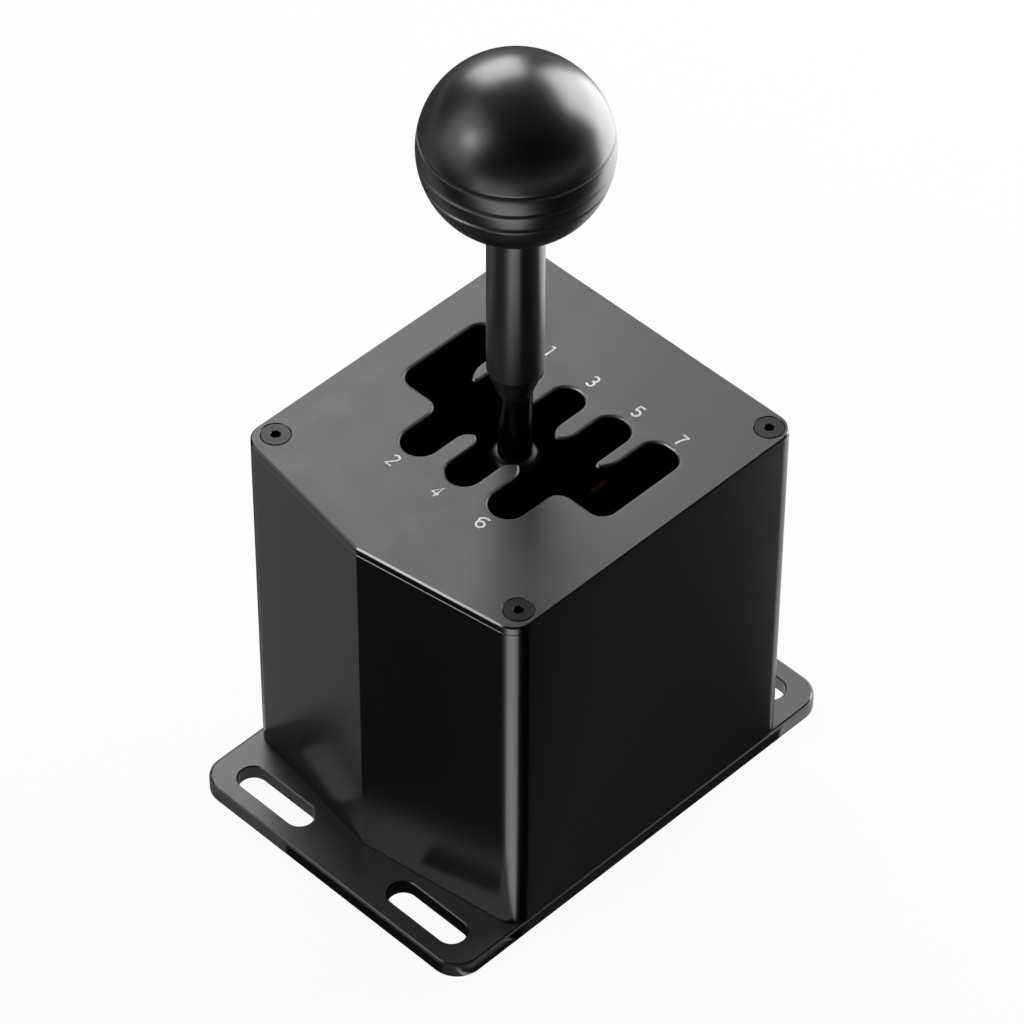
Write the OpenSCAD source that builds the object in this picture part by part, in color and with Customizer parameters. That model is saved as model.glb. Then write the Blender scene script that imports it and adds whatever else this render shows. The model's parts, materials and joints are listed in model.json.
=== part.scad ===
// H-pattern gear shifter for a driving simulator: seven forward gears and reverse.
// +X is to the driver's right, +Y is forward and +Z is up, with the origin under the
// middle of the base plate. The prow of the case faces the driver, towards -Y.

/* [Base plate] */
// How far the base plate stands out past each side of the case
base_margin = 0.3; // [0:0.1:4]
// Length of the base plate
base_l = 143.6; // [142:0.2:170]
// Thickness of the base plate
base_t = 5; // [5:0.5:8]
// Radius of the base plate's corners
base_corner_r = 8; // [4:0.5:9]
// Bevel along the base plate's edges
base_bevel = 0.5; // [0.2:0.1:1]
// Width of a mounting slot
slot_w = 8.6; // [6:0.2:9]
// Length of a mounting slot, end to end
slot_l = 27; // [14:0.5:32]
// Distance between slot centres across the plate
slot_gap_x = 58.4; // [44:0.2:60]
// Distance from a mounting slot's middle to the end of the plate
slot_in = 9.8; // [8.8:0.2:10.2]

/* [Case] */
// Width of the case
case_w = 100; // [97:0.5:104]
// Height of the housing shell
case_h = 111.6; // [105:0.2:125]
// Distance from the lever to the back of the case
case_back = 54.5; // [54:0.5:57]
// Distance from the lever to the front corners of the case
case_front = 49.8; // [48:0.2:52]
// How far the prow's ridge stands out from the front corners
prow = 7.5; // [5:0.5:9]
// Radius of the case's upright corners
case_corner_r = 6.1; // [5:0.1:7]
// Wall of the housing shell
wall = 3; // [2:0.5:3.5]
// Thickness of the top plate
plate_t = 2.6; // [2.4:0.2:4]
// Radius of the shell's screw bosses
boss_r = 4.8; // [4:0.2:4.8]
// Case screws: distance from the side of the case
screw_in_x = 5.6; // [5.2:0.2:7]
// Case screws: distance from the back of the case
screw_in_back = 5.5; // [5.2:0.1:7]
// Case screws: distance back from the front corners
screw_in_front = 6.4; // [6:0.2:8]

/* [Gate] */
// Distance from the middle column to the next one
column_gap = 16.1; // [15:0.1:17]
// Distance from there to the outer column
outer_column_gap = 15.4; // [14.5:0.1:16.5]
// Gap between the lever's rod and the gate's walls
gate_clear = 0.35; // [0.3:0.05:0.5]
// Gap between the lever's rod and the ends of the gate's slots
end_clear = 0.5; // [0.4:0.05:0.8]
// How far the gate sits forward of the lever
gate_shift = 0.2; // [0:0.05:0.2]
// Distance from the middle to the rounded tips of the gate's fingers
finger_tip = 6.9; // [6:0.1:8]
// Distance from the middle to the neutral channel's front wall
channel_front = 6; // [5.4:0.1:6.6]
// Radius of the fingers' tips
tip_r = 1; // [0.6:0.1:1.2]
// Radius that leads a middle slot into the neutral channel
lead_r = 5; // [4.5:0.5:6]
// Radius that leads an outer slot into the neutral channel
outer_lead_r = 9; // [8:0.5:10]
// Radius of the gate's shoulders and outer corners
shoulder_r = 4.4; // [3:0.2:5]
// Corner radius of the outer slots' ends
slot_end_r = 5; // [4:0.1:5]

/* [Lever] */
// Radius of the thin rod that runs in the gate
rod_r = 4.6; // [4:0.1:4.8]
// Radius of the thick upper part of the lever
grip_r = 7.5; // [6.5:0.5:9]
// Height of the taper's lower end above the top plate
taper_up = 16.8; // [14:0.2:30]
// Length of the taper
taper_l = 8.5; // [4:0.5:16]
// Radius of the lever's collar
collar_r = 7.2; // [6.8:0.1:8]
// Depth of the collar's shoulder below the top plate's underside
collar_drop = 2.6; // [2:0.2:8]
// Height of the knob's middle above the top plate
knob_up = 99.7; // [80:0.5:120]
// Radius of the knob
knob_r = 25; // [22:0.5:28]
// Radius of the flat under the knob
knob_flat_r = 9.6; // [9.5:0.1:12]
// Depth of the knob's turned grooves
groove_d = 1; // [0.6:0.1:1.2]
// Width of the knob's turned grooves
groove_w = 1.1; // [0.8:0.1:2]
// Distance from one groove to the next
groove_gap = 5.5; // [4:0.1:6.5]
// Height of the middle groove above the knob's middle
groove_mid = -0.75; // [-3:0.25:3]

/* [Pivots] */
// Height of both pivot axes above the base plate
pivot_h = 37; // [36:0.5:42]
// Tilt to each side, in degrees
side_angle = 12; // [8:0.5:12]
// Tilt forwards and backwards, in degrees
fore_angle = 13.4; // [9:0.2:13.4]
// Radius of the cross shaft
shaft_r = 4; // [3.5:0.1:4.2]
// Radius of the yoke pins
pin_r = 4; // [3:0.1:4]
// Running clearance of a shaft in its bush, on the radius
run_clear = 0.05; // [0.03:0.01:0.08]
// Clearance of pieces that are fitted and stay put, on the radius
fit_clear = 0.04; // [0.02:0.01:0.08]
// Gap between pieces that move past each other
gap = 0.3; // [0.2:0.05:0.4]

/* [Yoke] */
// Half width of the yoke's window
window_x = 20; // [20:0.5:22]
// Half length of the yoke's window
window_y = 23; // [23:0.5:24]
// Width of the yoke's side bars
side_bar = 9; // [9:0.5:11]
// Width of the yoke's end bars
end_bar = 7; // [6:0.5:7]
// Height of the yoke's bars
bar_h = 16; // [14:0.5:18]
// Distance from the lever to each pillar
pillar_gap = 36; // [35.5:0.5:37]
// Thickness of the pillars
pillar_t = 8; // [7:0.5:8]
// Outer radius of the ball bearings
bearing_r = 8; // [8:0.1:9]
// Width of the ball bearings
bearing_w = 5; // [4:0.5:6]

/* [Detent] */
// Radius of the detent cam
cam_r = 20.5; // [19.5:0.1:20.5]
// Thickness of the detent cam
cam_t = 6; // [5:0.5:6]
// Radius of the detent plunger and its nose
nose_r = 1.9; // [1.6:0.1:2]
// Travel of the detent plunger into a notch
nose_travel = 1.2; // [1:0.1:1.4]

/* [Springs] */
// Radius of a centring spring's winding, to the middle of its wire
spring_r = 3.7; // [3:0.1:3.8]
// Radius of a centring spring's wire
spring_wire_r = 0.65; // [0.4:0.05:0.8]
// Turns of a centring spring
spring_turns = 8; // [5:1:9]

/* [Electronics] */
// Width of the sensor board
sensor_w = 32; // [30:1:34]
// Length of the sensor board
sensor_l = 28; // [28:1:32]
// Width of the main board
main_w = 44; // [40:1:50]
// Height of the main board
main_h = 40; // [38:1:44]
// Thickness of the boards
board_t = 1.6; // [1:0.2:2]
// Height of the board standoffs under the sensor board
standoff_h = 4; // [4:0.5:5]
// Height of the USB receptacle's middle above the base plate
port_h = 15; // [13:0.5:18]

/* [Hidden] */
$fn = 48;
eps = 0.01;
// Play along the axis where one piece ends inside another
end_play = 0.2;
// How far a cut runs on beyond the surface it opens
past = 1;

base_w = case_w + 2*base_margin;
slot_gap_y = base_l - 2*slot_in;
floor_z = base_t;
rim_z = floor_z + case_h;
deck_z = rim_z + plate_t;
pivot_z = floor_z + pivot_h;
knob_z = deck_z + knob_up;

prow_a = atan(prow/(case_w/2));
screw_x = case_w/2 - screw_in_x;
screw_back = case_back - screw_in_back;
screw_front = -(case_front - screw_in_front);
case_screws = [for (x = [-screw_x, screw_x], y = [screw_front, screw_back]) [x, y]];

// The rod leans in the gate, so each slot is as wide as the leaning rod and its clearance
gate_arm = deck_z - plate_t/2 - pivot_z;
outer_x = column_gap + outer_column_gap;
function lean(x) = atan(x/gate_arm);
function slot_half(x) = rod_r/cos(lean(x)) + plate_t/2*tan(lean(x)) + gate_clear;
function slot_reach(x) = (deck_z - pivot_z)*tan(fore_angle)/cos(lean(x))
    + rod_r*sqrt(1 + pow(tan(fore_angle)/cos(lean(x)), 2)) + end_clear;
gate_front = -channel_front;
mid_half = slot_half(0);
gear_half = slot_half(column_gap);
outer_half = slot_half(outer_x);

// Screws: [thread radius, head radius, head height, key across flats]
m4 = [2, 3.95, 2, 2.5];
m5 = [2.5, 4.9, 2.5, 3];
m25 = [1.25, 2.2, 1, 1.5];
m2 = [1, 1.9, 0.9, 1.3];
screw_play = 0.25;
head_play = 0.12;
case_screw_l = 12;
boss_hole_l = 14;
pillar_screw_l = 13;
socket_depth = 0.7;

// Pegs under the pieces that stand on the base plate or on the rear wall
peg_hole_d = 3;
peg_l = peg_hole_d - end_play;
seat_peg_r = 2.5;
post_peg_r = 2;
standoff_peg_r = 1.5;
standoff_r = 2.5;
wall_peg_l = 1.5;

// Gimbal
bush_r = 5.5;
bush_flange_r = 7;
bush_flange_t = 1.5;
bar_out_x = window_x + side_bar;
bar_out_y = window_y + end_bar;
yoke_corner_r = 5;
window_corner_r = 3;
clip_t = 0.8;
clip_gap = 0.45;
clip_x = bar_out_x + clip_gap;
clip_play = 0.05;
clip_neck = 0.8;
clip_neck_r = shaft_r - clip_neck;
clip_rim = 2;
clip_r = shaft_r + clip_rim;
clip_mouth = 5;
shaft_over = 2.2;
shaft_end = bar_out_x + shaft_over;
pin_shoulder = 1.4;
pin_shoulder_r = pin_r + pin_shoulder;
pin_recess = 0.5;
pin_in = window_y + pin_recess;
pin_end = pillar_gap + pillar_t - pin_recess;
race_t = 1.4;
ball_r = 1.2;
ball_pitch_r = (pin_shoulder_r - race_t + run_clear + bearing_r)/2;
ball_count = 8;
pillar_head_wall = 6;
pillar_head_r = bearing_r + pillar_head_wall;
foot_w = 50;
foot_h = 12;
tunnel_w = 20;
tunnel_h = 8;
pillar_screw_x = (foot_w + tunnel_w)/4;

// Lever hub, with the detent cam on its right
hub_r = 9.5;
hub_neck_r = 11;
hub_neck_up = 18;
hub_stem_r = 6;
hub_stem_down = 16;
hub_left = -(window_x - bush_flange_t - gap);
hub_grub_x = (hub_left - hub_neck_r)/2;
hub_grub_l = 4;
hub_grub_key_r = 0.75;
cam_right = 16;
cam_left = cam_right - cam_t;
cam_mid = (cam_left + cam_right)/2;
cam_screw_r = 6.8;
cam_screw_in = 5;
cam_span = 32;
spacer_r = 5.4;
notch_r = nose_r + gap;
notch_at = cam_r + gap + nose_r - nose_travel;
grub_r = 1.5;

spigot_r = 6;
spigot_l = 11;
collar_top = rim_z - collar_drop;
collar_shoulder = 3;
collar_bore_l = 24;
collar_rim = 0.9;
nut_r = 12.7;
nut_h = 7;
taper_z = deck_z + taper_up;
grip_z = taper_z + taper_l;
knob_flat_z = knob_z - sqrt(knob_r*knob_r - knob_flat_r*knob_flat_r);
insert_r = 8;
insert_l = 18;
stud_r = 5;
stud_l = 16;

// Detent, along +Y behind the cam
nose_y = cam_r + gap + nose_r;
barrel_in = window_y - gap;
barrel_head_t = 3;
barrel_out = bar_out_y + barrel_head_t;
barrel_r = 5;
barrel_hex_r = 7.2;
barrel_bore_r = 3;
lip = 1.5;
grub_key_r = 1.4;
detent_turns = 3;
plunger_head_y = barrel_in + lip + gap + nose_travel;
plunger_head_t = 2;
grub_t = 2;
detent_wire_r = 0.35;
detent_spring_r = 2.2;

// Centring springs and side stops; end turns are wound at this many wire widths
end_pitch = 1.04;
spring_x = window_x + side_bar/2;
seat_r = 6;
seat_h = 3.5;
seat_floor = 1.5;
spring_play = 0.15;
spring_foot_z = floor_z + seat_floor + spring_play;
spring_pocket = 1;
spring_head_z = pivot_z - bar_h/2 + spring_pocket - spring_play;
bumper_r = 4;
bumper_y = 20;
bumper_t = 6;
bumper_top = pivot_z - bar_h/2/cos(side_angle) - (spring_x + bumper_r)*tan(side_angle) - gap;

// Magnet and boards
magnet_r = 3;
magnet_l = 4;
holder_r = 4.8;
holder_l = 10;
holder_spigot_l = 5.5;
holder_spigot_r = 3;
board_hole_in = 3;
board_corner_r = 2;
sensor_z = floor_z + standoff_h;
// Chips: [middle across, middle along, width, length, height]
sensor_chip_list = [[0, 0, 4, 4, 1], [-9.5, 4, 5, 4, 1], [6, -5.4, 2, 1.2, 0.8], [6, -2.9, 2, 1.2, 0.8]];
main_chip_list = [[-9.5, 26.5, 7, 7, 1], [6, 26, 4, 4, 1], [11.5, 18, 3, 2, 1.4], [-15.5, 16, 3, 2, 1.4]];
flex_w = 6;
flex_t = 0.4;
flex_port_w = 10;
flex_port_h = 2;
flex_port_l = 5;
flex_z = sensor_z + board_t + flex_port_h/2;
back_in = case_back - wall;
main_off = 3.5;
main_back = back_in - main_off;
main_front = main_back - board_t;
main_up = 7;
main_low = floor_z + main_up;
flex_up_y = main_front - flex_port_h/2;
flex_play = 0.1;
flex_stop = 1.4;
flex_in = flex_port_l - flex_stop;
flex_bend = 3;
sensor_mouth_in = 3;
sensor_mouth_y = sensor_l/2 - sensor_mouth_in;
main_mouth_in = 2.5;
main_mouth_z = main_low + main_mouth_in;
usb_w = 9;
usb_h = 3.2;
usb_shell = 0.35;
usb_play = 0.5;
usb_inset = 0.3;
usb_tongue = [6.6, 0.7];
main_holes = [for (x = [-1, 1], z = [board_hole_in, main_h - board_hole_in])
    [x*(main_w/2 - board_hole_in), main_low + z]];
sensor_holes = [for (x = [-1, 1], y = [-1, 1])
    [x*(sensor_w/2 - board_hole_in), y*(sensor_l/2 - board_hole_in)]];

// Shared shapes

module along_x(x0, x1, r) {
    translate([x0, 0, 0]) rotate([0, 90, 0]) cylinder(h = x1 - x0, r = r);
}

module along_y(y0, y1, r) {
    translate([0, y1, 0]) rotate([90, 0, 0]) cylinder(h = y1 - y0, r = r);
}

// Ring about Z from z0 to z1
module ring_z(z0, z1, r_out, r_in) {
    translate([0, 0, z0]) difference() {
        cylinder(h = z1 - z0, r = r_out);
        translate([0, 0, -past]) cylinder(h = z1 - z0 + 2*past, r = r_in);
    }
}

// Countersunk screw with its head flush at z = 0, pointing down
module sunk_screw(size, length) {
    difference() {
        union() {
            translate([0, 0, -size[2]]) cylinder(h = size[2], r1 = size[0], r2 = size[1]);
            translate([0, 0, -length]) cylinder(h = length - size[2] + eps, r = size[0]);
        }
        translate([0, 0, -size[2]*socket_depth]) cylinder(h = size[2], r = size[3]/2/cos(30), $fn = 6);
    }
}

// Hole for that screw through a sheet: the same cone, opened by the play
module sunk_hole(size, length) {
    translate([0, 0, -size[2] - head_play])
        cylinder(h = size[2] + head_play + eps, r1 = size[0] + head_play, r2 = size[1] + 2*head_play);
    translate([0, 0, -length]) cylinder(h = length, r = size[0] + screw_play);
}

// Pan-head screw standing on z = 0, pointing down
module pan_screw(size, length) {
    difference() {
        union() {
            cylinder(h = size[2]*1.4, r = size[1]);
            translate([0, 0, -length]) cylinder(h = length + eps, r = size[0]);
        }
        translate([0, 0, size[2]*0.6]) cylinder(h = size[2], r = size[3]/2/cos(30), $fn = 6);
    }
}

module rounded_square(w, l, r) {
    square([w - 2*r, l], center = true);
    square([w, l - 2*r], center = true);
    for (x = [-1, 1], y = [-1, 1]) translate([x*(w/2 - r), y*(l/2 - r)]) circle(r);
}

// Flat slab with rounded corners and a bevel along its upper and lower edges
module bevelled_slab(w, l, t, r, b) {
    for (x = [-1, 1], y = [-1, 1]) translate([x*(w/2 - r), y*(l/2 - r), 0])
        rotate_extrude() polygon([[0, 0], [r - b, 0], [r, b], [r, t - b], [r - b, t], [0, t]]);
    rotate([90, 0, 90]) linear_extrude(w - 2*r, center = true) bevelled_side(l, t, b);
    rotate([90, 0, 0]) linear_extrude(l - 2*r, center = true) bevelled_side(w, t, b);
}

module bevelled_side(l, t, b) {
    polygon([[-l/2 + b, 0], [l/2 - b, 0], [l/2, b], [l/2, t - b],
        [l/2 - b, t], [-l/2 + b, t], [-l/2, t - b], [-l/2, b]]);
}

// The case seen from above: flat sides and back, and a front that comes to a ridge
module case_outline(inset) {
    half_w = case_w/2 - inset;
    back = case_back - inset;
    r = case_corner_r - inset;
    ridge = -(case_front + prow) + inset/cos(prow_a);
    cx = half_w - r;
    cy = ridge + r/cos(prow_a) + cx*tan(prow_a);
    tx = cx + r*sin(prow_a);
    ty = cy - r*cos(prow_a);
    polygon([[0, ridge], [tx, ty], [half_w, cy], [half_w, back - r], [cx, back],
        [-cx, back], [-half_w, back - r], [-half_w, cy], [-tx, ty]]);
    for (s = [-1, 1]) {
        translate([s*cx, cy]) circle(r);
        translate([s*cx, back - r]) circle(r);
    }
}

// One unbroken helix of round wire about Z, with its end turns closed up
function coil_z(t, turns, pitch, wire_r) =
    let (closed = 2*wire_r*end_pitch)
    t < 1 ? t*closed
    : t > turns - 1 ? closed + (turns - 2)*pitch + (t - turns + 1)*closed
    : closed + (t - 1)*pitch;

module coil_spring(r, wire_r, height, turns, steps = 12, sides = 6) {
    closed = 2*wire_r*end_pitch;
    pitch = (height - 2*wire_r - 2*closed)/(turns - 2);
    rings = turns*steps;
    points = [for (i = [0 : rings], k = [0 : sides - 1])
        let (a = 360*i/steps, b = 360*k/sides)
        [(r + wire_r*cos(b))*cos(a), (r + wire_r*cos(b))*sin(a),
         wire_r + wire_r*sin(b) + coil_z(i/steps, turns, pitch, wire_r)]];
    skin = [for (i = [0 : rings - 1], k = [0 : sides - 1])
        let (n = (k + 1)%sides, p = i*sides, q = p + sides)
        [p + k, q + k, q + n, p + n]];
    last = rings*sides;
    polyhedron(points, concat(skin,
        [[for (k = [0 : sides - 1]) k]],
        [[for (k = [sides - 1 : -1 : 0]) last + k]]));
}

// Case

module base_plate() {
    color("#1b1b1d") difference() {
        bevelled_slab(base_w, base_l, base_t, base_corner_r, base_bevel);
        for (x = [-1, 1], y = [-1, 1]) translate([x*slot_gap_x/2, y*slot_gap_y/2, -past])
            linear_extrude(base_t + 2*past) slot_outline();
        for (p = case_screws) translate([p[0], p[1], 0]) mirror([0, 0, 1]) sunk_hole(m4, base_t + past);
        for (x = [-1, 1], y = [-1, 1]) translate([x*pillar_screw_x, y*(pillar_gap + pillar_t/2), 0])
            mirror([0, 0, 1]) sunk_hole(m5, base_t + past);
        for (p = sensor_holes) translate([p[0], p[1], 0]) peg_hole(standoff_peg_r);
        for (s = [-1, 1]) translate([s*spring_x, 0, 0]) peg_hole(seat_peg_r);
        for (x = [-1, 1], y = [-1, 1]) translate([x*spring_x, y*bumper_y, 0]) peg_hole(post_peg_r);
    }
}

module peg_hole(r) {
    translate([0, 0, floor_z - peg_hole_d]) cylinder(h = peg_hole_d + past, r = r + fit_clear);
}

module peg(r) {
    translate([0, 0, floor_z - peg_l]) cylinder(h = peg_l + eps, r = r);
}

module slot_outline() {
    square([slot_l - slot_w, slot_w], center = true);
    for (s = [-1, 1]) translate([s*(slot_l - slot_w)/2, 0]) circle(slot_w/2);
}

module housing_shell() {
    color("#121214") difference() {
        translate([0, 0, floor_z]) union() {
            linear_extrude(case_h) difference() {
                case_outline(0);
                case_outline(wall);
            }
            for (p = case_screws) translate([p[0], p[1], 0]) cylinder(h = case_h, r = boss_r);
        }
        for (p = case_screws, z = [floor_z - past, rim_z - boss_hole_l]) translate([p[0], p[1], z])
            cylinder(h = boss_hole_l + past, r = m4[0] + fit_clear);
        translate([0, case_back + past, floor_z + port_h]) rotate([90, 0, 0])
            linear_extrude(wall + 2*past) usb_outline(usb_play);
        for (p = main_holes) translate([p[0], 0, p[1]])
            along_y(back_in - past, back_in + wall_peg_l + end_play/2, standoff_peg_r + fit_clear);
    }
}

// The gate: neutral channel and gear slots, less the fingers of plate between them
module gate_outline() {
    translate([0, gate_shift]) {
        difference() {
            translate([-outer_x - outer_half, gate_front])
                square([2*(outer_x + outer_half), past - gate_front]);
            outer_corners();
        }
        for (s = [0, 1]) mirror([s, 0, 0]) {
            gear_slot(column_gap, gear_half);
            mirror([0, 1, 0]) gear_slot(column_gap, gear_half);
            outer_slot();
            finger(mid_half, column_gap - gear_half, lead_r, lead_r);
            mirror([0, 1, 0]) finger(mid_half, column_gap - gear_half, lead_r, lead_r);
            finger(column_gap + gear_half, outer_x - outer_half, tip_r + 0.4, outer_lead_r);
            shoulder();
        }
        gear_slot(0, mid_half);
        mirror([0, 1, 0]) gear_slot(0, mid_half);
    }
}

module gear_slot(x, half) {
    translate([x - half, 0]) square([2*half, slot_reach(x) - half]);
    translate([x, slot_reach(x) - half]) circle(half);
}

// The slots of gear 7 and reverse, whose ends are flatter
module outer_slot() {
    translate([outer_x - outer_half, 0]) square([2*outer_half, slot_reach(outer_x) - slot_end_r]);
    translate([outer_x - outer_half + slot_end_r, 0])
        square([2*(outer_half - slot_end_r), slot_reach(outer_x)]);
    for (s = [-1, 1]) translate([outer_x + s*(outer_half - slot_end_r), slot_reach(outer_x) - slot_end_r])
        circle(slot_end_r);
}

// Opens the plate between the walls x0 and x1 down to the end of one finger, whose sides
// curve with the radii r0 and r1 into the round tip
module finger(x0, x1, r0, r1) {
    tip_x = x0 + (r0 == r1 ? (x1 - x0)/2 : (r0 + tip_r)/2);
    high = max(arc_y(x0 + r0, r0, tip_x), arc_y(x1 - r1, r1, tip_x));
    difference() {
        translate([x0 - past, 0]) square([x1 - x0 + 2*past, high]);
        translate([tip_x, finger_tip + tip_r]) circle(tip_r);
        half_finger(x0, tip_x, r0, high);
        half_finger(x1, tip_x, r1, high);
    }
}

// Height at which an arc about cx leaves the slot's wall, so that it also touches the tip
function arc_y(cx, r, tip_x) =
    finger_tip + tip_r + sqrt(max(0, pow(r - tip_r, 2) - pow(tip_x - cx, 2)));

module half_finger(x, tip_x, r, high) {
    s = sign(tip_x - x);
    cx = x + s*r;
    cy = arc_y(cx, r, tip_x);
    touch_y = finger_tip + tip_r - tip_r*(cy - finger_tip - tip_r)/(r - tip_r);
    inner_x = tip_x + s*tip_r/3;
    intersection() {
        translate([min(x, inner_x), touch_y]) square([abs(inner_x - x), high + past - touch_y]);
        translate([cx, cy]) circle(r);
    }
    translate([min(x, inner_x), cy]) square([abs(inner_x - x), high + past - cy]);
}

// Rounds the plate where the front wall turns into the slot of gear 2 or 6
module shoulder() {
    translate([column_gap + gear_half - past, gate_front - shoulder_r]) difference() {
        square(shoulder_r + past);
        translate([shoulder_r + past, 0]) circle(shoulder_r);
    }
}

module outer_corners() {
    for (s = [-1, 1]) translate([s*(outer_x + outer_half - shoulder_r), gate_front + shoulder_r])
        difference() {
            translate([s > 0 ? 0 : -shoulder_r - past, -shoulder_r - past]) square(shoulder_r + past);
            circle(shoulder_r);
        }
}

module top_plate() {
    color("#2b2c2f") difference() {
        translate([0, 0, rim_z]) linear_extrude(plate_t) difference() {
            case_outline(0);
            gate_outline();
        }
        for (p = case_screws) translate([p[0], p[1], deck_z]) sunk_hole(m4, plate_t + past);
    }
}

module top_plate_screws() {
    color("#3a3a3c") for (p = case_screws) translate([p[0], p[1], deck_z]) sunk_screw(m4, case_screw_l);
}

module base_screws() {
    color("#3a3a3c") for (p = case_screws) translate([p[0], p[1], 0])
        mirror([0, 0, 1]) sunk_screw(m4, case_screw_l);
}

// Gimbal pillars and bearings

module pillar_outline() {
    difference() {
        union() {
            translate([-foot_w/2, floor_z]) square([foot_w, foot_h]);
            translate([-pillar_head_r, floor_z]) square([2*pillar_head_r, pivot_h]);
            translate([0, pivot_z]) circle(pillar_head_r);
        }
        translate([-tunnel_w/2, floor_z - past]) square([tunnel_w, tunnel_h + past]);
    }
}

module pillar() {
    difference() {
        translate([0, pillar_gap + pillar_t, 0]) rotate([90, 0, 0])
            linear_extrude(pillar_t) pillar_outline();
        translate([0, 0, pivot_z]) along_y(pillar_gap - past, pillar_gap + bearing_w, bearing_r + fit_clear);
        translate([0, 0, pivot_z]) along_y(pillar_gap, pillar_gap + pillar_t + past, pin_r + 2*gap);
        for (s = [-1, 1]) translate([s*pillar_screw_x, pillar_gap + pillar_t/2, floor_z - past])
            cylinder(h = foot_h - past, r = m5[0] + fit_clear);
    }
}

module rear_pillar() {
    color("#8f9296") pillar();
}

module front_pillar() {
    color("#8f9296") mirror([0, 1, 0]) pillar();
}

module pillar_screws() {
    color("#3a3a3c") for (x = [-1, 1], y = [-1, 1])
        translate([x*pillar_screw_x, y*(pillar_gap + pillar_t/2), 0])
            mirror([0, 0, 1]) sunk_screw(m5, pillar_screw_l);
}

// Places a ring's section, drawn with its axis on X = 0, about both yoke pins
module at_bearings() {
    for (s = [0, 1]) mirror([0, s, 0]) translate([0, pillar_gap + bearing_w, pivot_z])
        rotate([90, 0, 0]) rotate_extrude() children();
}

module race_section(r_in, r_out) {
    difference() {
        translate([r_in, 0]) square([r_out - r_in, bearing_w]);
        translate([ball_pitch_r, bearing_w/2]) circle(ball_r + run_clear);
    }
}

module bearing_outer_rings() {
    color("#c9ccd0") at_bearings() race_section(bearing_r - race_t, bearing_r);
}

module bearing_inner_rings() {
    color("#c9ccd0") at_bearings() race_section(pin_r + run_clear, pin_shoulder_r);
}

module bearing_balls() {
    color("#e4e6e8") for (s = [-1, 1], i = [0 : ball_count - 1])
        translate([ball_pitch_r*cos(360*i/ball_count), s*(pillar_gap + bearing_w/2),
            pivot_z + ball_pitch_r*sin(360*i/ball_count)]) sphere(ball_r, $fn = 24);
}

// Yoke

module yoke_frame() {
    color("#8f9296") difference() {
        translate([0, 0, pivot_z - bar_h/2]) linear_extrude(bar_h) difference() {
            rounded_square(2*bar_out_x, 2*bar_out_y, yoke_corner_r);
            rounded_square(2*window_x, 2*window_y, window_corner_r);
        }
        translate([0, 0, pivot_z]) {
            along_x(-bar_out_x - past, bar_out_x + past, bush_r + fit_clear);
            along_y(-bar_out_y - past, bar_out_y + past, pin_r + fit_clear);
            translate([cam_mid, 0, 0]) along_y(window_y - past, bar_out_y + past, barrel_r + fit_clear);
        }
        for (s = [-1, 1]) translate([s*spring_x, 0, pivot_z - bar_h/2 - past])
            cylinder(h = spring_pocket + past, r = spring_r + spring_wire_r + gap);
    }
}

module yoke_pins() {
    color("#b4b7bb") for (s = [0, 1]) mirror([0, s, 0]) translate([0, 0, pivot_z]) {
        along_y(pin_in, pin_end, pin_r);
        along_y(bar_out_y + end_play/2, pillar_gap, pin_shoulder_r);
    }
}

module shaft_bushes() {
    color("#a8842c") for (s = [0, 1]) mirror([s, 0, 0]) translate([0, 0, pivot_z]) difference() {
        union() {
            along_x(window_x, bar_out_x, bush_r);
            along_x(window_x - bush_flange_t, window_x, bush_flange_r);
        }
        along_x(window_x - bush_flange_t - past, bar_out_x + past, shaft_r + run_clear);
    }
}

module centring_spring(x) {
    color("#9a9da1") translate([x, 0, spring_foot_z])
        coil_spring(spring_r, spring_wire_r, spring_head_z - spring_foot_z, spring_turns);
}

module left_centring_spring() {
    centring_spring(-spring_x);
}

module right_centring_spring() {
    centring_spring(spring_x);
}

module spring_seats() {
    color("#26272a") for (s = [-1, 1]) translate([s*spring_x, 0, 0]) {
        ring_z(floor_z + seat_floor - eps, floor_z + seat_h, seat_r, spring_r + spring_wire_r + gap);
        translate([0, 0, floor_z]) cylinder(h = seat_floor, r = seat_r);
        peg(seat_peg_r);
    }
}

module bumper_posts() {
    color("#8f9296") for (x = [-1, 1], y = [-1, 1]) translate([x*spring_x, y*bumper_y, 0]) {
        translate([0, 0, floor_z]) cylinder(h = bumper_top - bumper_t - floor_z, r = bumper_r);
        peg(post_peg_r);
    }
}

module side_bumpers() {
    color("#1a1a1a") for (x = [-1, 1], y = [-1, 1])
        translate([x*spring_x, y*bumper_y, bumper_top - bumper_t]) cylinder(h = bumper_t, r = bumper_r);
}

// Detent

module detent_barrel() {
    color("#b4b7bb") translate([cam_mid, 0, pivot_z]) difference() {
        union() {
            along_y(barrel_in, bar_out_y + end_play, barrel_r);
            translate([0, barrel_out, 0]) rotate([90, 0, 0])
                cylinder(h = barrel_head_t - end_play/2, r = barrel_hex_r, $fn = 6);
        }
        along_y(barrel_in - past, barrel_out, nose_r + run_clear);
        along_y(barrel_in + lip, barrel_out + past, barrel_bore_r);
    }
}

module detent_plunger() {
    color("#d0d2d5") translate([cam_mid, 0, pivot_z]) {
        translate([0, nose_y, 0]) sphere(nose_r);
        along_y(nose_y, plunger_head_y + eps, nose_r);
        along_y(plunger_head_y, plunger_head_y + plunger_head_t, barrel_bore_r - run_clear);
    }
}

module detent_spring() {
    low = plunger_head_y + plunger_head_t + end_play/2;
    high = barrel_out - grub_t - end_play/2;
    color("#9a9da1") translate([cam_mid, high, pivot_z]) rotate([90, 0, 0])
        coil_spring(detent_spring_r, detent_wire_r, high - low, detent_turns);
}

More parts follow.
